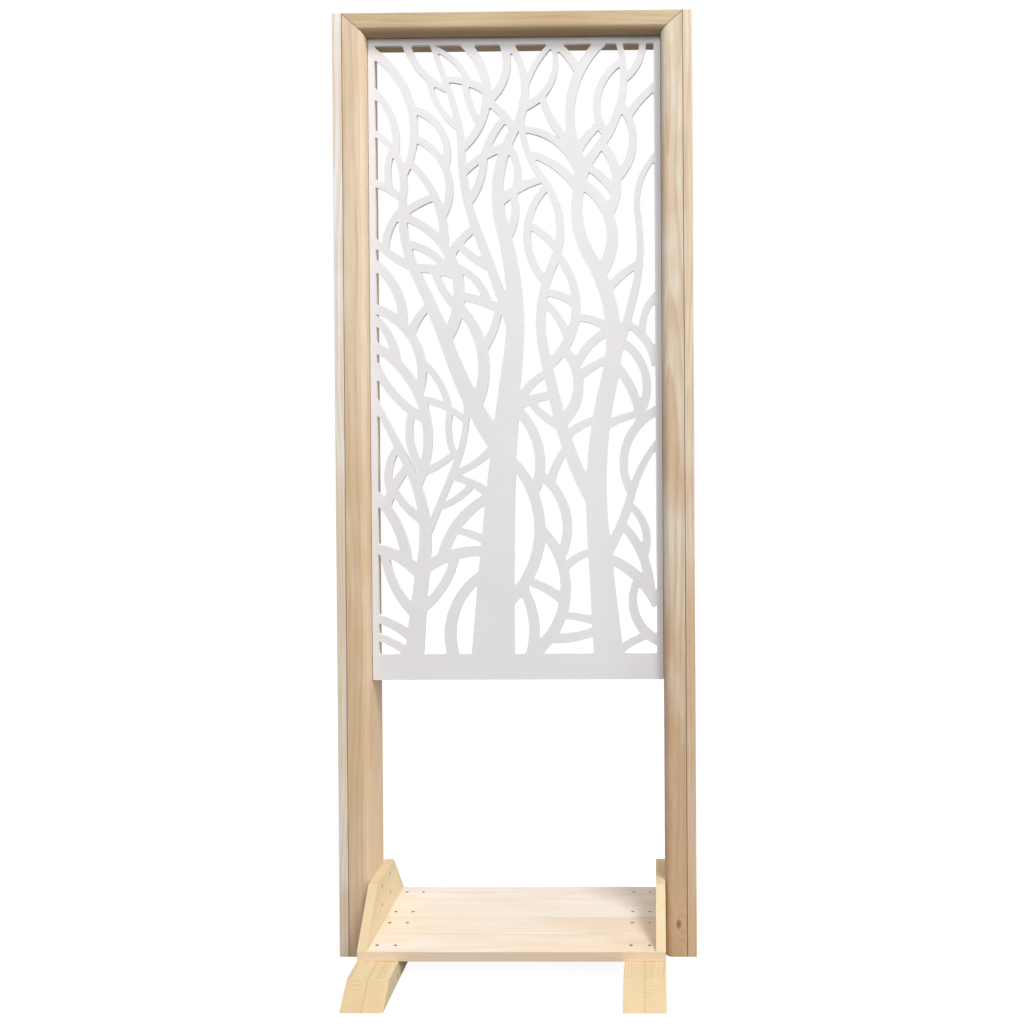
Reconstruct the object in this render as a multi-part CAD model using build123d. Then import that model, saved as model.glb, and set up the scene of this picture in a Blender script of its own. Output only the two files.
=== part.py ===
from build123d import *
import math
import os
import random

# Room divider: a mitred frame with a branch cut-out panel, on a shelf with gussets and two feet.
# Millimetres. The ground is Z = 0, X runs to the right and the front faces -Y. The exported origin
# is on the ground, midway between the posts and midway between the ends of the feet. The pieces are
# drawn with Y = 0 at the middle of the frame's depth and moved there at the end.

# Frame
FRAME_HEIGHT = 1900.0
OPENING_WIDTH = 596.0
POST_WIDTH = 44.0
HEAD_HEIGHT = 40.0
FRAME_DEPTH = 102.0
FRONT_ROUND = 15.0
REAR_EASE = 1.5
OUTER_BOARD_THICKNESS = 19.0
OUTER_JOINT_EASE = 1.5

# Panel
PANEL_THICKNESS = 8.0
PANEL_HEIGHT = 1305.0
PANEL_CLEARANCE = 1.0
PANEL_SETBACK = 28.0
PANEL_BORDER = 13.0
PANEL_FOOT_BAND = 52.0
CUTOUT_ROUND = 2.5
SMOOTH_TURN = 15.0
SHARP_TURN = 165.0
ROUND_SHARE = 0.35

# Beads behind the panel
BEAD_WIDTH = 12.0
BEAD_DEPTH = 12.0
BEAD_EASE = 0.8

# Base
BASE_DEPTH = 290.0
SHELF_THICKNESS = 19.0
SHELF_SEAM = 1.0
SHELF_EASE = 1.0
GUSSET_THICKNESS = 19.0
GUSSET_HEIGHT = 95.0
GUSSET_TOP_LENGTH = 126.0
FOOT_FRONT_REACH = 256.0
FOOT_REAR_REACH = 234.0
FOOT_HEIGHT = 38.0
FOOT_BOARD_WIDTH = 40.0
FOOT_RAKE = 48.0

# Screws: head diameter, shank diameter and length
BOARD_SCREW = (8.0, 4.0, 50.0)
SHELF_SCREW = (7.0, 3.5, 45.0)
MITRE_SCREW = (9.0, 4.5, 75.0)
GUSSET_SCREW = (7.0, 3.5, 45.0)
FOOT_SCREW = (9.0, 4.5, 65.0)
PANEL_SCREW = (6.0, 3.0, 16.0)
SCREW_POINT = 5.0

# Square drive socket, as shares of the screw's head diameter
DRIVE_WIDTH_SHARE = 0.3
DRIVE_DEPTH_SHARE = 0.2

# Pins that hold the beads: head diameter, shank diameter and length
BEAD_PIN = (2.6, 1.6, 30.0)
PIN_HEAD_THICKNESS = 0.8

# Screw and pin places
SHELF_SCREWS_FROM_END = (32.0, 68.0)
SHELF_SCREW_FROM_EDGE = 26.0
SHELF_SCREW_FROM_SEAM = 25.0
GUSSET_SCREW_SPREAD = 62.0
GUSSET_SCREW_HEIGHTS = (40.0, 78.0)
OUTER_SCREW_ROW_COUNT = 5
OUTER_SCREW_END_MARGIN = 150.0
OUTER_SCREW_SPREAD = 50.0
MITRE_SCREW_FROM_OPENING = 16.0
MITRE_SCREW_SPREAD = 46.0
FOOT_SCREW_COUNT = 3
FOOT_SCREW_SPREAD = 300.0
FOOT_SCREW_HEIGHT = 12.0
BEAD_END_MARGIN = 60.0
PANEL_SCREW_SIDE_COUNT = 6
PANEL_SCREW_TOP_COUNT = 3
PIN_SIDE_COUNT = 5
PIN_TOP_COUNT = 2

# Branch pattern
GRID_PITCH = 5.0
SEARCH_REACH = 75.0
MARCH_STEP = 3.0
SINK_STEP = 0.5
TOUCHING = 1.0
BORDER_OVERRUN = 8.0
LONGEST_TWIG = 260.0
LEAST_ROOM = 21.0
SMALLEST_GAP_AREA = 120.0
TWIG_WIDTHS = ((38.0, 25.0), (28.0, 21.0), (0.0, 18.0))
TWIG_TAPER = 0.78
TWIG_LEANS = range(-75, 76, 15)
LEAN_WOBBLE = 6.0
TIGHT_BEND = 90.0
WIDE_BEND = 220.0
PATTERN_SEED = 3

# What a natural twig is like: degrees, radians of bend, and length for the room at its spot
FORK_ANGLE = 50.0
LEAST_FORK = 25.0
MOST_FORK = 80.0
MEETING_ANGLE = 75.0
LEAST_MEETING = 30.0
MOST_TURN = 1.9
LENGTH_PER_ROOM = 4.0
FIT_IN_STEM = 0.95

# How much each fault counts: the slacks are the differences that count as one whole fault
LENGTH_SLACK = 60.0
FORK_SLACK = 30.0
MEETING_SLACK = 60.0
NO_FORK_FAULT = 0.9
NO_MEETING_FAULT = 0.3
WIDE_FORK_FAULT = 1.5
PLAIN_FAULT = 2.0

# Trunks and limbs: start point and points passed, as shares of the field, the lean at the start
# in degrees, and the width at each point.
LIMBS = [
    ((0.41, -0.02), 2, ((0.44, 0.25), (0.49, 0.49), (0.455, 0.70), (0.50, 0.86), (0.47, 1.01)),
     (90, 60, 38, 26, 18, 12)),
    ((0.455, 0.33), -36, ((0.27, 0.49), (0.15, 0.62), (0.10, 0.76), (-0.01, 0.86)),
     (40, 28, 20, 15, 11)),
    ((0.83, -0.02), -5, ((0.79, 0.21), (0.835, 0.45), (0.77, 0.65), (0.80, 0.83), (0.87, 1.01)),
     (62, 44, 34, 26, 18, 12)),
    ((0.80, 0.23), -32, ((0.66, 0.38), (0.60, 0.50), (0.635, 0.64), (0.60, 0.78), (0.66, 1.01)),
     (28, 24, 20, 17, 14, 10)),
    ((0.125, -0.02), 4, ((0.165, 0.16), (0.11, 0.31), (-0.01, 0.42)), (40, 26, 17, 12)),
    ((0.835, 0.455), 20, ((0.93, 0.60), (0.94, 0.72), (1.01, 0.82)), (18, 16, 13, 10)),
    ((0.487, 0.535), -18, ((0.36, 0.70), (0.31, 0.82), (0.27, 0.92), (0.20, 1.01)), (20, 18, 15, 12, 9)),
    ((0.79, 0.14), 34, ((0.91, 0.26), (1.01, 0.35)), (22, 17, 12)),
    ((0.163, 0.18), 22, ((0.28, 0.31), (0.32, 0.42)), (14, 13, 11)),
]


class Stem:
    """One tapering arc of a trunk, limb or twig."""

    def __init__(self, x, y, heading, curvature, length, root, tip):
        self.x = x
        self.y = y
        self.heading = heading
        self.curvature = curvature
        self.length = length
        self.root = root
        self.tip = tip

    def direction(self, run):
        return self.heading + self.curvature * run

    def at(self, run):
        if abs(self.curvature) < 1e-6:
            return self.x + run * math.cos(self.heading), self.y + run * math.sin(self.heading)
        radius = 1 / self.curvature
        turned = self.direction(run)
        return (
            self.x + radius * (math.sin(turned) - math.sin(self.heading)),
            self.y - radius * (math.cos(turned) - math.cos(self.heading)),
        )

    def half_width(self, run):
        return (self.root + (self.tip - self.root) * run / self.length) / 2

    def side(self, run, sign):
        x, y = self.at(run)
        across = self.direction(run) + sign * math.pi / 2
        half = self.half_width(run)
        return x + half * math.cos(across), y + half * math.sin(across)


class BranchField:
    """The stems laid so far, with the room left around each point of a grid."""

    def __init__(self, width, height):
        self.width = width
        self.height = height
        self.columns = int(width / GRID_PITCH) + 1
        self.rows = int(height / GRID_PITCH) + 1
        self.stems = []
        self.room = []
        self.nearest = []
        for i in range(self.columns):
            x = i * GRID_PITCH
            heights = [j * GRID_PITCH for j in range(self.rows)]
            self.room.append([min(x, width - x, y, height - y) for y in heights])
            self.nearest.append([None] * self.rows)

    def add(self, stem):
        self.stems.append(stem)
        samples = max(2, round(stem.length / GRID_PITCH))
        for k in range(samples + 1):
            run = stem.length * k / samples
            x, y = stem.at(run)
            half = stem.half_width(run)
            sample = (x, y, stem.direction(run), half)
            first_column = max(0, int((x - SEARCH_REACH) / GRID_PITCH))
            last_column = min(self.columns - 1, int((x + SEARCH_REACH) / GRID_PITCH))
            first_row = max(0, int((y - SEARCH_REACH) / GRID_PITCH))
            last_row = min(self.rows - 1, int((y + SEARCH_REACH) / GRID_PITCH))
            for i in range(first_column, last_column + 1):
                for j in range(first_row, last_row + 1):
                    room = math.hypot(i * GRID_PITCH - x, j * GRID_PITCH - y) - half
                    if room < self.room[i][j]:
                        self.room[i][j] = room
                        self.nearest[i][j] = sample

    def add_limb(self, start, lean, points, widths):
        """A chain of arcs, each going on in the direction in which the last one ended."""
        x = start[0] * self.width
        y = start[1] * self.height
        heading = math.radians(90 - lean)
        for point, root, tip in zip(points, widths, widths[1:]):
            end_x = point[0] * self.width
            end_y = point[1] * self.height
            chord = math.hypot(end_x - x, end_y - y)
            turn = math.remainder(math.atan2(end_y - y, end_x - x) - heading, 2 * math.pi)
            curvature = 2 * math.sin(turn) / chord
            length = chord if abs(curvature) < 1e-6 else 2 * turn / curvature
            stem = Stem(x, y, heading, curvature, length, root, tip)
            self.add(stem)
            heading = stem.direction(length)
            x = end_x
            y = end_y

    def inside(self, x, y):
        return 0 < x < self.width and 0 < y < self.height

    def room_at(self, x, y):
        i = min(int(x / GRID_PITCH), self.columns - 2)
        j = min(int(y / GRID_PITCH), self.rows - 2)
        u = x / GRID_PITCH - i
        v = y / GRID_PITCH - j
        left = self.room[i][j] * (1 - v) + self.room[i][j + 1] * v
        right = self.room[i + 1][j] * (1 - v) + self.room[i + 1][j + 1] * v
        return left * (1 - u) + right * u

    def widest_spot(self):
        room, i = max((max(column), i) for i, column in enumerate(self.room))
        j = self.room[i].index(room)
        return room, i, j

    def reach(self, probe, sign):
        """Run from the probe's start to the centre line of the first stem met, and that stem."""
        run = 0.0
        while run < LONGEST_TWIG:
            run += MARCH_STEP
            x, y = probe.at(sign * run)
            if not self.inside(x, y):
                return run + BORDER_OVERRUN, None
            if self.room_at(x, y) < TOUCHING:
                column = min(round(x / GRID_PITCH), self.columns - 1)
                row = min(round(y / GRID_PITCH), self.rows - 1)
                met = self.nearest[column][row]
                if met is None:
                    return run + BORDER_OVERRUN, None
                return run + self.sink(probe, sign, run, met), met
        return None, None

    def sink(self, probe, sign, run, met):
        """Way from a stem's side on to its centre line."""
        met_x, met_y, direction, half = met
        deepest = 3 * half
        first_offset = None
        extra = 0.0
        while extra < deepest:
            x, y = probe.at(sign * (run + extra))
            offset = math.cos(direction) * (y - met_y) - math.sin(direction) * (x - met_x)
            if first_offset is None:
                first_offset = offset
            if offset * first_offset <= 0:
                break
            extra += SINK_STEP
        return extra


def angle_between(first, second):
    return abs(math.degrees(math.remainder(first - second, 2 * math.pi)))


def faults(room, probe, down, up, foot, top):
    """How far a twig is from a natural fork at its foot, a plain meeting at its top and a good length."""
    length = down + up
    total = abs(length - LENGTH_PER_ROOM * room) / LENGTH_SLACK
    if foot is None:
        total += NO_FORK_FAULT
    else:
        fork = angle_between(probe.direction(-down), foot[2])
        total += abs(fork - FORK_ANGLE) / FORK_SLACK
        total += PLAIN_FAULT if fork < LEAST_FORK else 0
        total += WIDE_FORK_FAULT if fork > MOST_FORK else 0
    if top is None:
        total += NO_MEETING_FAULT
    else:
        meeting = angle_between(probe.direction(up), top[2])
        meeting = min(meeting, 180 - meeting)
        total += abs(meeting - MEETING_ANGLE) / MEETING_SLACK
        total += PLAIN_FAULT if meeting < LEAST_MEETING else 0
    total += PLAIN_FAULT if abs(probe.curvature) * length > MOST_TURN else 0
    return total


def branch_stems(width, height):
    """Limbs first, then twigs, each laid across the widest gap that is left."""
    chance = random.Random(PATTERN_SEED)
    field = BranchField(width, height)
    for limb in LIMBS:
        field.add_limb(*limb)
    while True:
        room, i, j = field.widest_spot()
        if room < LEAST_ROOM:
            return field.stems
        choices = []
        for lean in TWIG_LEANS:
            heading = math.radians(90 - lean + chance.uniform(-LEAN_WOBBLE, LEAN_WOBBLE))
            for hand in (-1, 1):
                curvature = hand / chance.uniform(TIGHT_BEND, WIDE_BEND)
                probe = Stem(i * GRID_PITCH, j * GRID_PITCH, heading, curvature, 1, 1, 1)
                down, foot = field.reach(probe, -1)
                up, top = field.reach(probe, 1)
                if down is None or up is None:
                    continue
                fault = faults(room, probe, down, up, foot, top)
                choices.append((fault, len(choices), probe, down, up, foot, top))
        fault, order, probe, down, up, foot, top = min(choices)
        width_here = next(twig for least, twig in TWIG_WIDTHS if room > least)
        root = width_here if foot is None else min(width_here, 2 * FIT_IN_STEM * foot[3])
        tip = TWIG_TAPER * width_here
        if top is not None:
            tip = min(tip, 2 * FIT_IN_STEM * top[3])
        x, y = probe.at(-down)
        field.add(Stem(x, y, probe.direction(-down), probe.curvature, down + up, root, tip))


# Places that several pieces share
opening_half = OPENING_WIDTH / 2
post_outer = opening_half + POST_WIDTH
board_outer = post_outer + OUTER_BOARD_THICKNESS
opening_top = FRAME_HEIGHT - HEAD_HEIGHT
frame_front = -FRAME_DEPTH / 2
panel_front = frame_front + PANEL_SETBACK
panel_back = panel_front + PANEL_THICKNESS
panel_half = opening_half - PANEL_CLEARANCE
panel_top = opening_top - PANEL_CLEARANCE
panel_bottom = panel_top - PANEL_HEIGHT
bead_back = panel_back + BEAD_DEPTH
shelf_top = FOOT_HEIGHT + SHELF_THICKNESS

# From the middle of the frame's depth to the middle of the feet
to_ground_origin = Pos(0, (FOOT_FRONT_REACH - FOOT_REAR_REACH) / 2, 0)


def slab(x, y, z):
    """A box between the given limits."""
    box = Box(x[1] - x[0], y[1] - y[0], z[1] - z[0])
    return Pos((x[0] + x[1]) / 2, (y[0] + y[1]) / 2, (z[0] + z[1]) / 2) * box


def eased(solid, axis, radius):
    """The same board with a small round on its long edges."""
    return fillet(solid.edges().filter_by(axis), radius)


def mirrored(shape):
    return mirror(shape, about=Plane.YZ)


def fastener(size, head_thickness, point):
    """A fastener whose head lies in the XY plane and whose shank goes down -Z."""
    head_diameter, shank_diameter, length = size
    head_radius = head_diameter / 2
    shank_radius = shank_diameter / 2
    profile = Polyline(
        (0, 0),
        (head_radius, 0),
        (shank_radius, -head_thickness),
        (shank_radius, point - length),
        (0, -length),
        close=True,
    )
    return revolve(Plane.XZ * make_face(profile), Axis.Z)


def bore(size):
    """The room that a screw takes up, with its socket filled."""
    return fastener(size, (size[0] - size[1]) / 2, SCREW_POINT)


def screw(size):
    """A countersunk screw with a square drive socket."""
    socket_width = size[0] * DRIVE_WIDTH_SHARE
    socket_depth = size[0] * DRIVE_DEPTH_SHARE
    socket = Pos(0, 0, -socket_depth / 2) * Box(socket_width, socket_width, socket_depth)
    return bore(size) - socket


def pin(size):
    return fastener(size, PIN_HEAD_THICKNESS, size[1])


def spread(count, first, last):
    """Evenly spaced places from first to last."""
    return [first + (last - first) * k / (count - 1) for k in range(count)]


# Turns that point a fastener's shank along an axis
TOWARD_PLUS_X = Rot(0, -90, 0)
TOWARD_MINUS_X = Rot(0, 90, 0)
TOWARD_MINUS_Y = Rot(-90, 0, 0)
TOWARD_PLUS_Z = Rot(180, 0, 0)


def drilled(board, size, places):
    """The board with a fitting hole for each screw."""
    return board - [place * bore(size) for place in places]


# Screw places
board_screw_heights = spread(
    OUTER_SCREW_ROW_COUNT, OUTER_SCREW_END_MARGIN, FRAME_HEIGHT - OUTER_SCREW_END_MARGIN
)
right_board_places = [
    Pos(board_outer, y, z) * TOWARD_MINUS_X
    for z in board_screw_heights
    for y in (-OUTER_SCREW_SPREAD / 2, OUTER_SCREW_SPREAD / 2)
]

mitre_places = [
    Pos(opening_half + MITRE_SCREW_FROM_OPENING, y, FRAME_HEIGHT)
    for y in (-MITRE_SCREW_SPREAD / 2, MITRE_SCREW_SPREAD / 2)
]

right_gusset_places = [
    Pos(opening_half - GUSSET_THICKNESS, y, shelf_top + z) * TOWARD_PLUS_X
    for z in GUSSET_SCREW_HEIGHTS
    for y in (-GUSSET_SCREW_SPREAD / 2, GUSSET_SCREW_SPREAD / 2)
]

shelf_screw_depths = (BASE_DEPTH / 2 - SHELF_SCREW_FROM_EDGE, SHELF_SCREW_FROM_SEAM)
right_rear_shelf_places = [
    Pos(opening_half - end, y, shelf_top)
    for end in SHELF_SCREWS_FROM_END
    for y in shelf_screw_depths
]

foot_inner = opening_half - 2 * FOOT_BOARD_WIDTH
right_foot_places = [
    Pos(foot_inner, y, FOOT_SCREW_HEIGHT) * TOWARD_PLUS_X
    for y in spread(FOOT_SCREW_COUNT, -FOOT_SCREW_SPREAD / 2, FOOT_SCREW_SPREAD / 2)
]

side_bead_screw_heights = spread(
    PANEL_SCREW_SIDE_COUNT, panel_bottom + BEAD_END_MARGIN, panel_top - BEAD_END_MARGIN
)
right_panel_places = [
    Pos(opening_half - BEAD_WIDTH / 2, bead_back, z) * TOWARD_MINUS_Y for z in side_bead_screw_heights
]
top_panel_places = [
    Pos(x, bead_back, opening_top - BEAD_WIDTH / 2) * TOWARD_MINUS_Y
    for x in spread(
        PANEL_SCREW_TOP_COUNT, BEAD_END_MARGIN - opening_half, opening_half - BEAD_END_MARGIN
    )
]

# Pins stand between the panel screws
bead_middle = (panel_back + bead_back) / 2
pin_margin = BEAD_END_MARGIN + (PANEL_HEIGHT - 2 * BEAD_END_MARGIN) / (PANEL_SCREW_SIDE_COUNT - 1) / 2
right_pin_places = [
    Pos(opening_half - BEAD_WIDTH, bead_middle, z) * TOWARD_PLUS_X
    for z in spread(PIN_SIDE_COUNT, panel_bottom + pin_margin, panel_top - pin_margin)
]
top_pin_margin = BEAD_END_MARGIN + (OPENING_WIDTH - 2 * BEAD_END_MARGIN) / (PANEL_SCREW_TOP_COUNT - 1) / 2
top_pin_places = [
    Pos(x, bead_middle, opening_top - BEAD_WIDTH) * TOWARD_PLUS_Z
    for x in spread(PIN_TOP_COUNT, top_pin_margin - opening_half, opening_half - top_pin_margin)
]


def frame_section(width):
    """Section of a post or the head in the XY plane: inner side at X = 0, outer side at +X."""
    section = Pos(width / 2, 0) * Rectangle(width, FRAME_DEPTH)
    section = fillet(section.vertices().group_by(Axis.X)[0].sort_by(Axis.Y)[0], FRONT_ROUND)
    return fillet(section.vertices().group_by(Axis.X)[0].sort_by(Axis.Y)[-1], REAR_EASE)


def right_post():
    post = extrude(Pos(opening_half, 0, 0) * frame_section(POST_WIDTH), FRAME_HEIGHT)
    above_mitre = Polyline(
        (opening_half, opening_top),
        (post_outer, FRAME_HEIGHT),
        (opening_half, FRAME_HEIGHT),
        close=True,
    )
    post -= extrude(Plane.XZ * make_face(above_mitre), FRAME_DEPTH, both=True)
    outer_edges = post.edges().filter_by(Axis.Z).group_by(Axis.X)[-1]
    post = fillet(outer_edges, OUTER_JOINT_EASE)
    post -= [place * bore(BOARD_SCREW) for place in right_board_places]
    post -= [place * bore(MITRE_SCREW) for place in mitre_places]
    post -= [place * bore(GUSSET_SCREW) for place in right_gusset_places]
    post -= [place * pin(BEAD_PIN) for place in right_pin_places]
    return post


def head_rail():
    upright = Plane(origin=(post_outer, 0, opening_top), x_dir=(0, 0, 1), z_dir=(-1, 0, 0))
    rail = extrude(upright * frame_section(HEAD_HEIGHT), 2 * post_outer)
    trapezoid = Polyline(
        (-opening_half, opening_top),
        (opening_half, opening_top),
        (post_outer, FRAME_HEIGHT),
        (-post_outer, FRAME_HEIGHT),
        close=True,
    )
    rail &= extrude(Plane.XZ * make_face(trapezoid), FRAME_DEPTH, both=True)
    rail -= [place * bore(MITRE_SCREW) for place in mitre_places]
    rail -= [mirrored(place * bore(MITRE_SCREW)) for place in mitre_places]
    rail -= [place * pin(BEAD_PIN) for place in top_pin_places]
    return rail


def right_outer_board():
    half_depth = FRAME_DEPTH / 2
    board = slab((post_outer, board_outer), (-half_depth, half_depth), (0, FRAME_HEIGHT))
    board = eased(board, Axis.Z, OUTER_JOINT_EASE)
    return drilled(board, BOARD_SCREW, right_board_places)


def stem_face(stem):
    """The outline of one stem: two tapering sides and square ends."""
    sides = []
    for sign in (1, -1):
        start, middle, end = (stem.side(stem.length * share, sign) for share in (0, 0.5, 1))
        sides.append(ThreePointArc(start, middle, end))
    foot = Line(sides[0] @ 0, sides[1] @ 0)
    tip = Line(sides[0] @ 1, sides[1] @ 1)
    return Face(Wire([sides[0], tip, sides[1], foot]))


def rounded(gap):
    """The gap with its corners rounded, wherever both sides are long enough to carry the round."""
    sides = gap.outer_wire().order_edges()
    corners = []
    for first, second in zip(sides, sides[1:] + sides[:1]):
        turn = (first % 1).get_angle(second % 0)
        if turn < SMOOTH_TURN or turn > SHARP_TURN:
            continue
        round_takes = CUTOUT_ROUND * math.tan(math.radians(turn / 2))
        if round_takes < ROUND_SHARE * min(first.length, second.length):
            corner = first @ 1
            corners.append(min(gap.vertices(), key=lambda vertex: (vertex.center() - corner).length))
    return gap.fillet_2d(CUTOUT_ROUND, corners) if corners else gap


def cutouts(width, height):
    """The gaps between the stems, with the field's lower left corner at the origin."""
    field = Face(Wire.make_polygon([(0, 0), (width, 0), (width, height), (0, height)]))
    stems = [stem_face(stem) for stem in branch_stems(width, height)]
    return [rounded(gap) for gap in field.cut(*stems).faces() if gap.area > SMALLEST_GAP_AREA]


def screen_panel():
    sheet = Pos(0, (panel_bottom + panel_top) / 2) * Rectangle(2 * panel_half, PANEL_HEIGHT)
    field_left = PANEL_BORDER - panel_half
    field_bottom = panel_bottom + PANEL_FOOT_BAND
    field_width = 2 * (panel_half - PANEL_BORDER)
    field_height = PANEL_HEIGHT - PANEL_FOOT_BAND - PANEL_BORDER
    gaps = cutouts(field_width, field_height)
    inner_wires = [gap.outer_wire().moved(Location((field_left, field_bottom, 0))) for gap in gaps]
    cut_sheet = Face(sheet.face().outer_wire(), inner_wires)
    standing = Plane.XZ.offset(-panel_back) * cut_sheet
    panel = extrude(standing, PANEL_THICKNESS)
    panel -= [place * bore(PANEL_SCREW) for place in right_panel_places]
    panel -= [mirrored(place * bore(PANEL_SCREW)) for place in right_panel_places]
    panel -= [place * bore(PANEL_SCREW) for place in top_panel_places]
    return panel


def right_bead():
    bead = slab(
        (opening_half - BEAD_WIDTH, opening_half),
        (panel_back, bead_back),
        (panel_bottom, opening_top),
    )
    bead = fillet(bead.edges().filter_by(Axis.Z).group_by(Axis.X)[0].group_by(Axis.Y)[-1], BEAD_EASE)
    bead -= [place * bore(PANEL_SCREW) for place in right_panel_places]
    bead -= [place * pin(BEAD_PIN) for place in right_pin_places]
    return bead


def top_bead():
    reach = opening_half - BEAD_WIDTH
    bead = slab((-reach, reach), (panel_back, bead_back), (opening_top - BEAD_WIDTH, opening_top))
    bead = fillet(bead.edges().filter_by(Axis.X).group_by(Axis.Z)[0].group_by(Axis.Y)[-1], BEAD_EASE)
    bead -= [place * bore(PANEL_SCREW) for place in top_panel_places]
    bead -= [place * pin(BEAD_PIN) for place in top_pin_places]
    return bead


def right_gusset():
    outline = Polyline(
        (-BASE_DEPTH / 2, shelf_top),
        (BASE_DEPTH / 2, shelf_top),
        (GUSSET_TOP_LENGTH / 2, shelf_top + GUSSET_HEIGHT),
        (-GUSSET_TOP_LENGTH / 2, shelf_top + GUSSET_HEIGHT),
        close=True,
    )
    gusset = extrude(Plane.YZ.offset(opening_half) * make_face(outline), -GUSSET_THICKNESS)
    return drilled(gusset, GUSSET_SCREW, right_gusset_places)


def rear_shelf_board():
    board = slab(
        (-opening_half, opening_half),
        (SHELF_SEAM / 2, BASE_DEPTH / 2),
        (FOOT_HEIGHT, shelf_top),
    )
    board = eased(board, Axis.X, SHELF_EASE)
    board -= [place * bore(SHELF_SCREW) for place in right_rear_shelf_places]
    board -= [mirrored(place * bore(SHELF_SCREW)) for place in right_rear_shelf_places]
    return board


def right_foot_board(inner_side):
    """One board of the right foot, from its inner side outward."""
    outline = Polyline(
        (-FOOT_FRONT_REACH, 0),
        (FOOT_REAR_REACH, 0),
        (FOOT_REAR_REACH - FOOT_RAKE, FOOT_HEIGHT),
        (FOOT_RAKE - FOOT_FRONT_REACH, FOOT_HEIGHT),
        close=True,
    )
    board = extrude(Plane.YZ.offset(inner_side) * make_face(outline), FOOT_BOARD_WIDTH)
    board -= [place * bore(FOOT_SCREW) for place in right_foot_places]
    board -= [place * bore(SHELF_SCREW) for place in right_rear_shelf_places]
    board -= [mirror(place * bore(SHELF_SCREW), about=Plane.XZ) for place in right_rear_shelf_places]
    return board


def screws(size, places):
    return [place * screw(size) for place in places]


def group(solids):
    return Compound(children=[(to_ground_origin * solid).solid() for solid in solids])


right_rear_screws = screws(SHELF_SCREW, right_rear_shelf_places)
rear_screws = right_rear_screws + [mirrored(solid) for solid in right_rear_screws]
shelf_screws = rear_screws + [mirror(solid, about=Plane.XZ) for solid in rear_screws]
right_mitre_screws = screws(MITRE_SCREW, mitre_places)
right_panel_screws = screws(PANEL_SCREW, right_panel_places)
right_pins = [place * pin(BEAD_PIN) for place in right_pin_places]

post = right_post()
outer_board = right_outer_board()
bead = right_bead()
gusset = right_gusset()
shelf_board = rear_shelf_board()
inner_foot_board = right_foot_board(foot_inner)
outer_foot_board = right_foot_board(foot_inner + FOOT_BOARD_WIDTH)
board_screws = screws(BOARD_SCREW, right_board_places)
gusset_screws = screws(GUSSET_SCREW, right_gusset_places)
foot_screws = screws(FOOT_SCREW, right_foot_places)

boards = {
    "post_right": post,
    "post_left": mirrored(post),
    "head_rail": head_rail(),
    "outer_board_right": outer_board,
    "outer_board_left": mirrored(outer_board),
    "screen_panel": screen_panel(),
    "bead_right": bead,
    "bead_left": mirrored(bead),
    "bead_top": top_bead(),
    "gusset_right": gusset,
    "gusset_left": mirrored(gusset),
    "shelf_board_rear": shelf_board,
    "shelf_board_front": mirror(shelf_board, about=Plane.XZ),
    "foot_right_inner": inner_foot_board,
    "foot_left_inner": mirrored(inner_foot_board),
    "foot_right_outer": outer_foot_board,
    "foot_left_outer": mirrored(outer_foot_board),
}

fasteners = {
    "shelf_screws": shelf_screws,
    "outer_board_screws_right": board_screws,
    "outer_board_screws_left": [mirrored(solid) for solid in board_screws],
    "gusset_screws_right": gusset_screws,
    "gusset_screws_left": [mirrored(solid) for solid in gusset_screws],
    "foot_screws_right": foot_screws,
    "foot_screws_left": [mirrored(solid) for solid in foot_screws],
    "mitre_screws": right_mitre_screws + [mirrored(solid) for solid in right_mitre_screws],
    "panel_screws": (
        right_panel_screws
        + [mirrored(solid) for solid in right_panel_screws]
        + screws(PANEL_SCREW, top_panel_places)
    ),
    "bead_pins": (
        right_pins
        + [mirrored(solid) for solid in right_pins]
        + [place * pin(BEAD_PIN) for place in top_pin_places]
    ),
}

os.makedirs("parts", exist_ok=True)
for name, solid in boards.items():
    export_step(to_ground_origin * solid, f"parts/{name}.step")
for name, solids in fasteners.items():
    export_step(group(solids), f"parts/{name}.step")
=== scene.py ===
import math

import bpy
from mathutils import Matrix, Vector


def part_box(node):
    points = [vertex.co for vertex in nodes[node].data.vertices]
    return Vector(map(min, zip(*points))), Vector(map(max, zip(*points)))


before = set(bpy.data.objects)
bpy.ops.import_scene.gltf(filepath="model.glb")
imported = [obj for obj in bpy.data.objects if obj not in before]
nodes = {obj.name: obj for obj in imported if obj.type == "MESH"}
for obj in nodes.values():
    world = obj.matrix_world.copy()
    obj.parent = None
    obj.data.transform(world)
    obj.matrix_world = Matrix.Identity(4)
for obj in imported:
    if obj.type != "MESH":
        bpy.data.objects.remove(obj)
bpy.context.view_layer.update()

# Camera, fitted to corner points of the photograph: place in metres, turns in degrees, and the focal
# length and optical centre in pixels of a picture 1024 across
CAMERA_PLACE = (0.2853, -2.0730, 1.0231)
CAMERA_YAW = 0.7041
CAMERA_PITCH = -0.4862
CAMERA_ROLL = 0.338
FOCAL_PIXELS = 1013.8
OPTICAL_CENTRE = (644.1, 457.5)
PICTURE_PIXELS = 1024
SENSOR_MM = 36.0

# Arrises eased on the timber: their width in metres, their facets, and the least turn that has one
EASE_WIDTH = 0.0007
EASE_FACETS = 2
EASE_LEAST_TURN = math.radians(35)


# Node helpers

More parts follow.
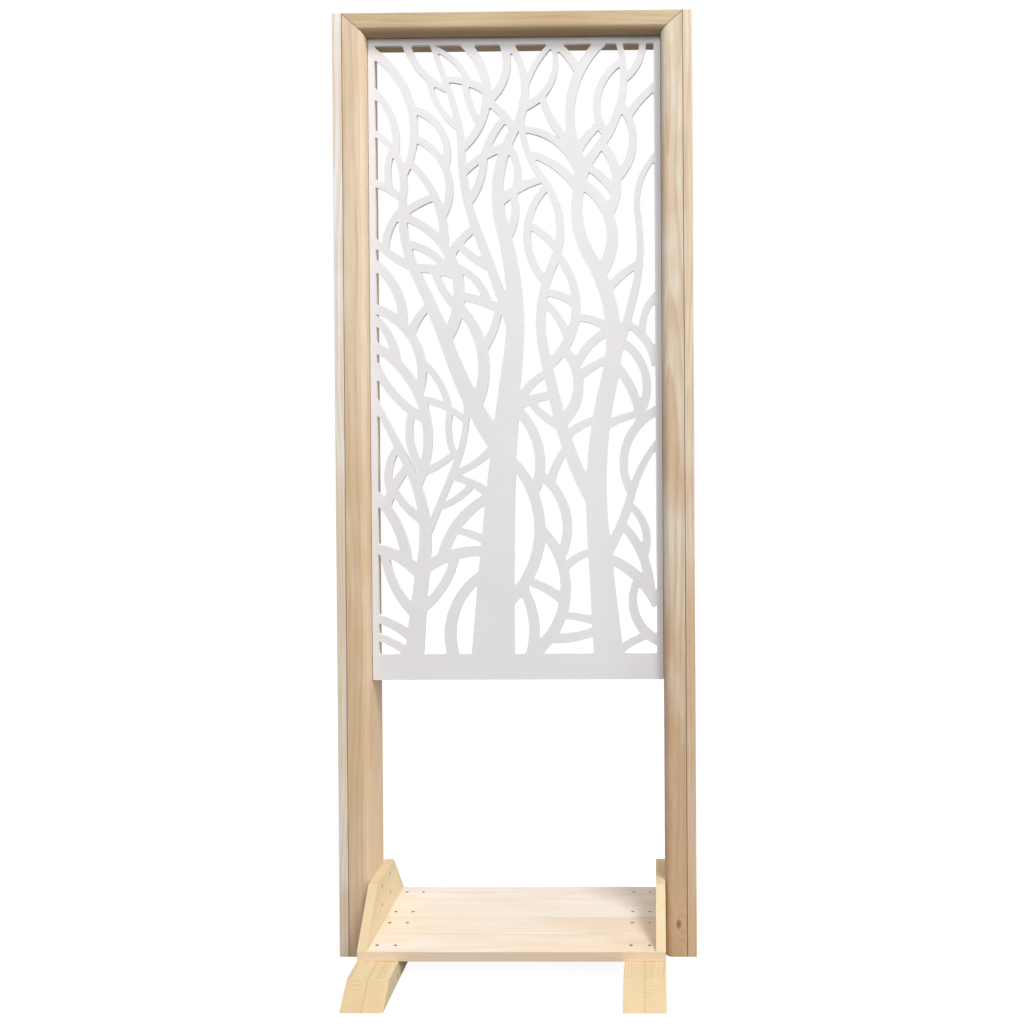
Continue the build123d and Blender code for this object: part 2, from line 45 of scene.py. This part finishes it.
class Nodes:
    """Builds a material's node tree with short calls."""

    def __init__(self, name):
        self.material = bpy.data.materials.new(name)
        self.material.use_nodes = True
        self.tree = self.material.node_tree
        self.shader = self.tree.nodes["Principled BSDF"]

    def add(self, kind, **settings):
        node = self.tree.nodes.new(kind)
        for key, value in settings.items():
            setattr(node, key, value)
        return node

    def link(self, source, target):
        self.tree.links.new(source, target)

    def feed(self, socket, value):
        """Sets a socket to a number or colour, or links an output to it."""
        if isinstance(value, bpy.types.NodeSocket):
            self.link(value, socket)
        else:
            socket.default_value = value

    def math(self, operation, first, second=0.0, third=0.0):
        node = self.add("ShaderNodeMath", operation=operation)
        for socket, value in zip(node.inputs, (first, second, third)):
            self.feed(socket, value)
        return node.outputs[0]

    def vector(self, operation, first, second=(0.0, 0.0, 0.0)):
        node = self.add("ShaderNodeVectorMath", operation=operation)
        self.feed(node.inputs[0], first)
        self.feed(node.inputs[1], second)
        return node.outputs["Value"] if operation in ("LENGTH", "DOT_PRODUCT") else node.outputs[0]

    def noise(self, vector, scale, detail=2.0, roughness=0.5):
        """Noise with so many features to a metre, and so many finer layers laid over them."""
        node = self.add("ShaderNodeTexNoise")
        self.link(vector, node.inputs["Vector"])
        node.inputs["Scale"].default_value = scale
        node.inputs["Detail"].default_value = detail
        node.inputs["Roughness"].default_value = roughness
        return node.outputs["Fac"]

    def span(self, value, low, high, to_low=0.0, to_high=1.0, smooth=True):
        """Maps low..high to to_low..to_high, held at both ends."""
        node = self.add("ShaderNodeMapRange")
        node.interpolation_type = "SMOOTHSTEP" if smooth else "LINEAR"
        node.clamp = True
        for socket, number in zip(node.inputs, (value, low, high, to_low, to_high)):
            self.feed(socket, number)
        return node.outputs["Result"]

    def mix(self, factor, first, second, blend="MIX"):
        node = self.add("ShaderNodeMix", data_type="RGBA", blend_type=blend)
        self.feed(node.inputs["Factor"], factor)
        self.feed(node.inputs["A"], first)
        self.feed(node.inputs["B"], second)
        return node.outputs["Result"]

    def bump(self, height, strength, distance):
        node = self.add("ShaderNodeBump")
        node.inputs["Strength"].default_value = strength
        node.inputs["Distance"].default_value = distance
        self.link(height, node.inputs["Height"])
        return node.outputs["Normal"]


def linear(red, green, blue):
    """A colour as the eye reads it, 0 to 255, in the renderer's linear numbers."""
    def channel(value):
        value /= 255
        return value / 12.92 if value <= 0.04045 else ((value + 0.055) / 1.055) ** 2.4
    return channel(red), channel(green), channel(blue), 1.0


# Timber, in metres. A noise is drawn out along the grain: its stretch is the share of its features
# that it keeps there.

GRAIN_TURNS = {
    "X": (0.0, math.radians(-90), 0.0),
    "Y": (math.radians(90), 0.0, 0.0),
    "Z": (0.0, 0.0, 0.0),
}

# How far one board's noises lie from the next one's
BOARD_STEP = (1.7, 2.3, 0.9)

# How far and how slowly the rings wander from circles round the pith, and how far apart the noises
# for its two ways lie
WANDER = 0.05
WANDER_SCALE = 7.0
WANDER_STRETCH = 0.16
WANDER_APART = (3.1, 5.7, 2.9)

# A knot is longer along the grain. It pushes the rings aside by so many ring widths, out to so many of
# its radii, and is darkest inside the first of its two edges, which are also in radii.
KNOT_ALONG_GRAIN = 0.55
KNOT_PUSH = 2.4
KNOT_REACH = 5.0
KNOT_EDGES = (0.45, 1.15)
KNOT_DARKNESS = 0.8
KNOT_TONE = linear(132, 92, 58)

# Late wood starts and is full at these shares of a ring, then ends at once. It shows so strongly, and
# in places only by the least share of that.
LATE_WOOD_STARTS = 0.25
LATE_WOOD_FULL = 0.86
LATE_WOOD_ENDS = 0.88
LATE_WOOD_DEPTH = 0.45
LATE_WOOD_LEAST = 0.35

# The posts and outer boards turn from pale wood above to warm wood below, between these heights
WEATHERED_BELOW = 0.2
WEATHERED_ABOVE = 1.7
WEATHERED_WARMTH = 0.45

# Warm streaks, and the brightest and darkest shade of the fibres
STREAK_DEPTH = 0.42
FIBRE_SHADES = (1.03, 0.93)

# The cosines, between a face's way and the way of the board's stained or painted-shade faces, from
# which it is stained or darkened with painted shade, a little and fully
ROUGH_OR_SHADED_FACING = (0.03, 0.34)

# Half width of the dark line in a joint, the share of it that is darkest, its colour, and how dark it
# is between the boards of the frame, where it is open, and of a foot, where it is glued
JOINT_LINE = 0.0013
JOINT_CORE = 0.4
JOINT_TONE = linear(84, 58, 36)
OPEN_JOINT = 0.62
GLUED_JOINT = 0.24


def joint(first, second, darkness=OPEN_JOINT):
    """The plane through two points of the XZ plane: its normal, distance from the origin and darkness."""
    (x1, z1), (x2, z2) = first, second
    normal = Vector((z2 - z1, 0.0, x1 - x2)).normalized()
    return normal, normal.dot(Vector((x1, 0.0, z1))), darkness


def drawn_out(n, place, stretch):
    """The place for a noise that is drawn out along the grain, which runs along Z."""
    return n.vector("MULTIPLY", place, (1.0, 1.0, stretch))


def ring_radius(n, along, shifted, pith):
    """How far a point lies from the pith line, with the rings' slow wander along the board."""
    slow = drawn_out(n, shifted, WANDER_STRETCH)
    wander_x = n.noise(slow, WANDER_SCALE)
    wander_y = n.noise(n.vector("ADD", slow, WANDER_APART), WANDER_SCALE)
    wander = n.add("ShaderNodeCombineXYZ")
    n.feed(wander.inputs["X"], n.math("MULTIPLY_ADD", wander_x, WANDER, -WANDER / 2))
    n.feed(wander.inputs["Y"], n.math("MULTIPLY_ADD", wander_y, WANDER, -WANDER / 2))
    from_pith = n.vector("ADD", n.vector("ADD", along, (*pith, 0.0)), wander.outputs["Vector"])
    return n.vector("LENGTH", drawn_out(n, from_pith, 0.0))


def round_knots(n, place, grain, ring, knots, radius):
    """The radius with the rings pushed aside by each knot, and how far a point is inside a knot."""
    knot_share = 0.0
    core, edge = KNOT_EDGES
    for centre, size, axis in knots:
        mask = [1.0, 1.0, 1.0]
        mask["XYZ".index(grain)] = KNOT_ALONG_GRAIN
        mask["XYZ".index(axis)] = 0.0
        offset = n.vector("MULTIPLY", n.vector("SUBTRACT", place, centre), mask)
        distance = n.vector("LENGTH", offset)
        push = n.span(distance, 0.0, size * KNOT_REACH, ring * KNOT_PUSH, 0.0)
        radius = n.math("ADD", radius, push)
        inside = n.span(distance, size * core, size * edge, 1.0, 0.0)
        knot_share = n.math("MAXIMUM", knot_share, inside)
    return radius, knot_share


def late_wood_share(n, shifted, radius, ring):
    """How much late wood a point has: it rises slowly through each ring and ends at once."""
    rings = n.math("FRACT", n.math("DIVIDE", radius, ring))
    rise = n.span(rings, LATE_WOOD_STARTS, LATE_WOOD_FULL)
    fall = n.span(rings, LATE_WOOD_ENDS, 1.0, 1.0, 0.0)
    late_wood = n.math("MULTIPLY", rise, fall)
    uneven = n.noise(drawn_out(n, shifted, 0.22), scale=34.0)
    return n.math("MULTIPLY", late_wood, n.span(uneven, 0.3, 0.7, LATE_WOOD_LEAST, 1.0))


def pale_or_warm(n, place, shifted, grain):
    """How warm the wood is, in blotches and, on the upright boards, warmer lower down."""
    blotches = n.noise(drawn_out(n, shifted, 0.35), scale=9.0, detail=3.0, roughness=0.55)
    warmth = n.span(blotches, 0.32, 0.68)
    if grain == "Z":
        height = n.add("ShaderNodeSeparateXYZ")
        n.link(place, height.inputs[0])
        lower = n.span(height.outputs["Z"], WEATHERED_BELOW, WEATHERED_ABOVE,
                       WEATHERED_WARMTH, -WEATHERED_WARMTH)
        warmth = n.math("ADD", warmth, lower)
    return warmth


def shaded_by_fibres(n, tone, fibres):
    """The tone with the fine light and dark of the fibres."""
    bright, dark = FIBRE_SHADES
    grey = n.span(fibres, 0.3, 0.75, bright, dark, smooth=False)
    shade = n.add("ShaderNodeCombineXYZ")
    for axis in "XYZ":
        n.feed(shade.inputs[axis], grey)
    return n.mix(1.0, tone, shade.outputs["Vector"], "MULTIPLY")


def stained_or_painted_shade(n, tone, normal, rough_or_shaded):
    """The tone with the stain on sawn ends and edges, or with painted shade on the underside of the head.
    """
    facing = n.vector("DOT_PRODUCT", normal, rough_or_shaded["facing"])
    if rough_or_shaded["both_ways"]:
        facing = n.math("ABSOLUTE", facing)
    return n.mix(n.span(facing, *ROUGH_OR_SHADED_FACING, 0.0, rough_or_shaded["strength"]), tone, rough_or_shaded["stain_or_shade"])


def darkened_at_joints(n, tone, place, joints):
    """The tone with the grime and shade in the joints with the boards beside it."""
    for normal, distance, darkness in joints:
        beside = n.math("ABSOLUTE", n.math("SUBTRACT", n.vector("DOT_PRODUCT", place, normal), distance))
        line = n.span(beside, JOINT_LINE * JOINT_CORE, JOINT_LINE, darkness, 0.0)
        tone = n.mix(line, tone, JOINT_TONE)
    return tone


def timber(name, grain, tones, pith, ring, rough_or_shaded, joints, seed, knots=()):
    """Pine whose rings lie round a pith line beside the board, so faces and end grain agree."""
    pale, warm, late = tones
    n = Nodes(name)
    coordinates = n.add("ShaderNodeTexCoord")
    place = coordinates.outputs["Object"]
    turned = n.add("ShaderNodeMapping", vector_type="POINT")
    turned.inputs["Rotation"].default_value = GRAIN_TURNS[grain]
    n.link(place, turned.inputs["Vector"])
    along = turned.outputs["Vector"]
    shifted = n.vector("ADD", along, tuple(seed * step for step in BOARD_STEP))

    radius = ring_radius(n, along, shifted, pith)
    radius, knot_share = round_knots(n, place, grain, ring, knots, radius)
    late_wood = late_wood_share(n, shifted, radius, ring)
    fibres = n.noise(drawn_out(n, shifted, 0.03), scale=620.0, detail=3.0, roughness=0.65)
    streaks = n.noise(drawn_out(n, shifted, 0.045), scale=130.0, detail=3.0, roughness=0.6)

    tone = n.mix(pale_or_warm(n, place, shifted, grain), pale, warm)
    tone = n.mix(n.math("MULTIPLY", late_wood, LATE_WOOD_DEPTH), tone, late)
    tone = n.mix(n.span(streaks, 0.35, 0.72, 0.0, STREAK_DEPTH), tone, warm)
    tone = shaded_by_fibres(n, tone, fibres)
    if knots:
        tone = n.mix(n.math("MULTIPLY", knot_share, KNOT_DARKNESS), tone, KNOT_TONE)
    # Stain on sawn ends and edges, and painted shade under the head
    tone = stained_or_painted_shade(n, tone, coordinates.outputs["Normal"], rough_or_shaded)
    tone = darkened_at_joints(n, tone, place, joints)

    n.feed(n.shader.inputs["Base Color"], tone)
    n.feed(n.shader.inputs["Roughness"], n.span(fibres, 0.3, 0.8, 0.56, 0.7))
    n.shader.inputs["Specular IOR Level"].default_value = 0.35
    relief = n.math("ADD", n.math("MULTIPLY", fibres, 0.7), n.math("MULTIPLY", late_wood, 0.5))
    n.feed(n.shader.inputs["Normal"], n.bump(relief, strength=0.35, distance=0.0003))
    return n.material


def painted_sheet(name, face):
    """A matt sheet with the faint unevenness of a sprayed or moulded face."""
    n = Nodes(name)
    place = n.add("ShaderNodeTexCoord").outputs["Object"]
    cloud = n.noise(place, scale=5.0, detail=3.0)
    peel = n.noise(place, scale=900.0)
    red, green, blue, alpha = face
    darker = (0.965 * red, 0.965 * green, 0.965 * blue, alpha)
    n.feed(n.shader.inputs["Base Color"], n.mix(n.span(cloud, 0.35, 0.7), face, darker))
    n.feed(n.shader.inputs["Roughness"], n.span(cloud, 0.3, 0.7, 0.5, 0.6))
    n.shader.inputs["Specular IOR Level"].default_value = 0.4
    n.feed(n.shader.inputs["Normal"], n.bump(peel, strength=0.12, distance=0.0002))
    return n.material


def zinc(name, bright, dull):
    """Zinc-plated steel with light handling marks."""
    n = Nodes(name)
    place = n.add("ShaderNodeTexCoord").outputs["Object"]
    wear = n.noise(place, scale=260.0, detail=3.0, roughness=0.6)
    pits = n.noise(place, scale=1400.0)
    n.feed(n.shader.inputs["Base Color"], n.mix(n.span(wear, 0.3, 0.7), bright, dull))
    n.shader.inputs["Metallic"].default_value = 1.0
    n.feed(n.shader.inputs["Roughness"], n.span(wear, 0.3, 0.75, 0.28, 0.5))
    n.feed(n.shader.inputs["Normal"], n.bump(pits, strength=0.2, distance=0.0001))
    return n.material


# Tones of the boards: pale wood, warm wood and late wood
LEFT_POST = (linear(229, 209, 184), linear(214, 185, 149), linear(190, 152, 108))
RIGHT_POST = (linear(228, 218, 200), linear(203, 171, 137), linear(180, 140, 98))
HEAD = (linear(210, 190, 156), linear(196, 171, 132), linear(172, 138, 98))
LEFT_BOARD = (linear(243, 238, 234), linear(226, 207, 184), linear(200, 172, 140))
RIGHT_BOARD = (linear(232, 216, 193), linear(211, 181, 149), linear(190, 156, 118))
SHELF_FRONT = (linear(241, 228, 214), linear(235, 216, 194), linear(222, 194, 160))
SHELF_REAR = (linear(244, 235, 225), linear(240, 225, 208), linear(228, 202, 172))
GUSSET = (linear(230, 213, 178), linear(223, 200, 160), linear(203, 176, 132))
FOOT = (linear(232, 212, 176), linear(222, 198, 156), linear(200, 170, 124))


def stained_or_shaded_faces(facing, strength, stain_or_shade, both_ways=True):
    """Stained faces, or faces darkened with painted shade: the way that they face, and whether the faces
    opposite are darkened too.
    """
    return {"facing": facing, "strength": strength, "stain_or_shade": stain_or_shade, "both_ways": both_ways}


UP = (0.0, 0.0, 1.0)
DOWN = (0.0, 0.0, -1.0)
BACK = (0.0, 1.0, 0.0)
POST_ENDS = stained_or_shaded_faces(UP, 0.3, LEFT_POST[2])
# Painted shade: faces looking down on the head and top bead are darkened brown as if in shade
HEAD_UNDERSIDE_PAINTED_SHADE = stained_or_shaded_faces(DOWN, 0.52, linear(134, 102, 68), both_ways=False)
SHELF_EDGES = stained_or_shaded_faces(BACK, 0.55, SHELF_FRONT[2])
GUSSET_ENDS = stained_or_shaded_faces(BACK, 0.04, GUSSET[2])
FOOT_ENDS = stained_or_shaded_faces(BACK, 0.36, FOOT[2])

# Joint planes, from the boards' own corners
head_low, head_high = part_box("head_rail")
inner_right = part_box("bead_right")[1].x  # the bead lies against the post's inner face
right_board_joint = joint((head_high.x, head_low.z), (head_high.x, head_high.z))
left_board_joint = joint((head_low.x, head_low.z), (head_low.x, head_high.z))
right_mitre = joint((inner_right, head_low.z), (head_high.x, head_high.z))
left_mitre = joint((-inner_right, head_low.z), (head_low.x, head_high.z))
right_foot_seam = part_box("foot_right_outer")[0].x
right_foot_joint = joint((right_foot_seam, 0.0), (right_foot_seam, 1.0), GLUED_JOINT)
left_foot_joint = joint((-right_foot_seam, 0.0), (-right_foot_seam, 1.0), GLUED_JOINT)
JOINTS = {
    "post_left": (left_board_joint, left_mitre),
    "post_right": (right_board_joint, right_mitre),
    "head_rail": (left_mitre, right_mitre),
    "outer_board_left": (left_board_joint,),
    "outer_board_right": (right_board_joint,),
    "foot_left_outer": (left_foot_joint,),
    "foot_left_inner": (left_foot_joint,),
    "foot_right_inner": (right_foot_joint,),
    "foot_right_outer": (right_foot_joint,),
}


def board(grain, tones, pith, ring, rough_or_shaded, knots=()):
    """A board's grain axis, tones, way from its pith to the origin, ring width, stained or painted-shade
    faces and knots.

    A knot is its place, its radius and the axis that it runs along.
    """
    return {"grain": grain, "tones": tones, "pith": pith, "ring": ring, "rough_or_shaded": rough_or_shaded, "knots": knots}


# The knot at the foot of the right post, which runs from front to back
POST_KNOT = ((0.325, -0.040, 0.066), 0.006, "Y")
BOARDS = {
    "post_left": board("Z", LEFT_POST, (0.36, 0.16), 0.0052, POST_ENDS),
    "post_right": board("Z", RIGHT_POST, (-0.30, 0.13), 0.0058, POST_ENDS, (POST_KNOT,)),
    # The head's underside gets painted shade
    "head_rail": board("X", HEAD, (1.93, 0.12), 0.0055, HEAD_UNDERSIDE_PAINTED_SHADE),
    "outer_board_left": board("Z", LEFT_BOARD, (0.40, -0.10), 0.0045, POST_ENDS),
    "outer_board_right": board("Z", RIGHT_BOARD, (-0.40, 0.12), 0.0048, POST_ENDS),
    "gusset_left": board("Y", GUSSET, (0.33, 0.05), 0.0050, GUSSET_ENDS),
    "gusset_right": board("Y", GUSSET, (-0.33, 0.05), 0.0050, GUSSET_ENDS),
    "shelf_board_front": board("X", SHELF_FRONT, (-0.02, 0.09), 0.0065, SHELF_EDGES),
    "shelf_board_rear": board("X", SHELF_REAR, (-0.03, -0.10), 0.0060, SHELF_EDGES),
    "foot_left_outer": board("Y", FOOT, (0.28, 0.01), 0.0048, FOOT_ENDS),
    "foot_left_inner": board("Y", FOOT, (0.22, -0.05), 0.0052, FOOT_ENDS),
    "foot_right_inner": board("Y", FOOT, (-0.25, 0.04), 0.0050, FOOT_ENDS),
    "foot_right_outer": board("Y", FOOT, (-0.27, -0.03), 0.0046, FOOT_ENDS),
    "bead_left": board("Z", LEFT_POST, (0.33, 0.10), 0.0060, POST_ENDS),
    "bead_right": board("Z", RIGHT_POST, (-0.33, 0.10), 0.0060, POST_ENDS),
    # The bead's underside gets painted shade
    "bead_top": board("X", HEAD, (1.90, 0.10), 0.0060, HEAD_UNDERSIDE_PAINTED_SHADE),
}

materials = {}
for seed, (name, features) in enumerate(BOARDS.items(), start=1):
    materials[name] = timber("pine_" + name, joints=JOINTS.get(name, ()), seed=float(seed), **features)

materials["screen_panel"] = painted_sheet("panel_sheet", linear(232, 229, 231))
steel = zinc("zinc_steel", bright=linear(172, 160, 140), dull=linear(124, 112, 96))


def ease_arrises(node):
    """Takes the sharpness off a board's edges."""
    bevel = node.modifiers.new("ease", "BEVEL")
    bevel.width = EASE_WIDTH
    bevel.segments = EASE_FACETS
    bevel.limit_method = "ANGLE"
    bevel.angle_limit = EASE_LEAST_TURN
    bevel.use_clamp_overlap = False


for name, node in nodes.items():
    if name in BOARDS:
        ease_arrises(node)
    node.data.materials.clear()
    node.data.materials.append(materials.get(name, steel))


# Floor and surround

FLOOR_SIZE = 60.0
FLOOR_COLOUR = (0.16, 0.16, 0.16, 1.0)
FLOOR_GLOW = 0.93
SKY_COLOUR = (0.95, 0.97, 1.0, 1.0)
SKY_STRENGTH = 0.45
WHITE = (1.0, 1.0, 1.0, 1.0)


def shows_background(tree):
    """One for rays from the camera, a mirror or glass, which see the plain background, and else zero."""
    path = tree.nodes.new("ShaderNodeLightPath")
    seen = path.outputs["Is Camera Ray"]
    for kind in ("Is Glossy Ray", "Is Transmission Ray"):
        either = tree.nodes.new("ShaderNodeMath")
        either.operation = "MAXIMUM"
        tree.links.new(seen, either.inputs[0])
        tree.links.new(path.outputs[kind], either.inputs[1])
        seen = either.outputs[0]
    return seen


def pale_floor(name):
    """A pale floor that looks white but for soft shadows."""
    n = Nodes(name)
    n.shader.inputs["Base Color"].default_value = FLOOR_COLOUR
    n.shader.inputs["Roughness"].default_value = 0.9
    n.shader.inputs["Specular IOR Level"].default_value = 0.0
    n.shader.inputs["Emission Color"].default_value = WHITE
    glow = n.math("MULTIPLY", shows_background(n.tree), FLOOR_GLOW)
    n.feed(n.shader.inputs["Emission Strength"], glow)
    return n.material


def pale_world(world):
    """A surround that looks white and lights the object softly."""
    world.use_nodes = True
    tree = world.node_tree
    tree.nodes.clear()
    seen = tree.nodes.new("ShaderNodeBackground")
    seen.inputs["Color"].default_value = WHITE
    lighting = tree.nodes.new("ShaderNodeBackground")
    lighting.inputs["Color"].default_value = SKY_COLOUR
    lighting.inputs["Strength"].default_value = SKY_STRENGTH
    choose = tree.nodes.new("ShaderNodeMixShader")
    output = tree.nodes.new("ShaderNodeOutputWorld")
    tree.links.new(shows_background(tree), choose.inputs["Fac"])
    tree.links.new(lighting.outputs["Background"], choose.inputs[1])
    tree.links.new(seen.outputs["Background"], choose.inputs[2])
    tree.links.new(choose.outputs["Shader"], output.inputs["Surface"])


bpy.ops.mesh.primitive_plane_add(size=FLOOR_SIZE, location=(0.0, 0.0, 0.0))
floor = bpy.context.object
floor.name = "floor"
floor.data.materials.append(pale_floor("floor_pale"))

bpy.context.scene.world = bpy.context.scene.world or bpy.data.worlds.new("surround")
pale_world(bpy.context.scene.world)


def lamp(name, place, target, size, power, colour=(1.0, 1.0, 1.0), gloss=True):
    """A square soft lamp, with its size in metres and its power in watts."""
    data = bpy.data.lights.new(name, "AREA")
    data.shape = "SQUARE"
    data.size = size
    data.energy = power
    data.color = colour
    lamp_object = bpy.data.objects.new(name, data)
    bpy.context.collection.objects.link(lamp_object)
    lamp_object.visible_camera = False
    lamp_object.visible_glossy = gloss
    lamp_object.location = place
    aim = Vector(target) - Vector(place)
    lamp_object.rotation_euler = aim.to_track_quat("-Z", "Y").to_euler()


MIDDLE = (0.0, 0.0, 0.9)
LOWER_HALF = (0.0, 0.0, 0.7)
SUNLIGHT = (1.0, 0.985, 0.96)
lamp("key", (3.2, -3.9, 7.0), MIDDLE, size=2.2, power=418.0, colour=SUNLIGHT)
lamp("front", (-0.8, -6.6, 4.9), MIDDLE, size=3.0, power=172.0)
lamp("side", (5.5, -1.6, 1.6), LOWER_HALF, size=1.2, power=80.0)
lamp("rear", (0.8, 6.4, 1.5), MIDDLE, size=2.0, power=100.0, gloss=False)


# Camera

def camera_turn(yaw, pitch, roll):
    """The camera's axes as a matrix, from its turn about the vertical, its tilt and its roll."""
    yaw, pitch, roll = (math.radians(angle) for angle in (yaw, pitch, roll))
    right = Vector((math.cos(yaw), math.sin(yaw), 0.0))
    level = Vector((-math.sin(yaw), math.cos(yaw), 0.0))
    ahead = level * math.cos(pitch) + Vector((0.0, 0.0, math.sin(pitch)))
    up = Vector((0.0, 0.0, math.cos(pitch))) - level * math.sin(pitch)
    rolled_right = right * math.cos(roll) - up * math.sin(roll)
    rolled_up = right * math.sin(roll) + up * math.cos(roll)
    return Matrix((rolled_right, rolled_up, -ahead)).transposed()


camera_data = bpy.data.cameras.new("camera")
camera_data.sensor_width = SENSOR_MM
camera_data.lens = FOCAL_PIXELS * SENSOR_MM / PICTURE_PIXELS
camera_data.shift_x = 0.5 - OPTICAL_CENTRE[0] / PICTURE_PIXELS
camera_data.shift_y = OPTICAL_CENTRE[1] / PICTURE_PIXELS - 0.5
camera = bpy.data.objects.new("camera", camera_data)
bpy.context.collection.objects.link(camera)
camera.matrix_world = Matrix.Translation(CAMERA_PLACE) @ camera_turn(
    CAMERA_YAW, CAMERA_PITCH, CAMERA_ROLL).to_4x4()
bpy.context.scene.camera = camera

bpy.context.scene.view_settings.view_transform = "Standard"
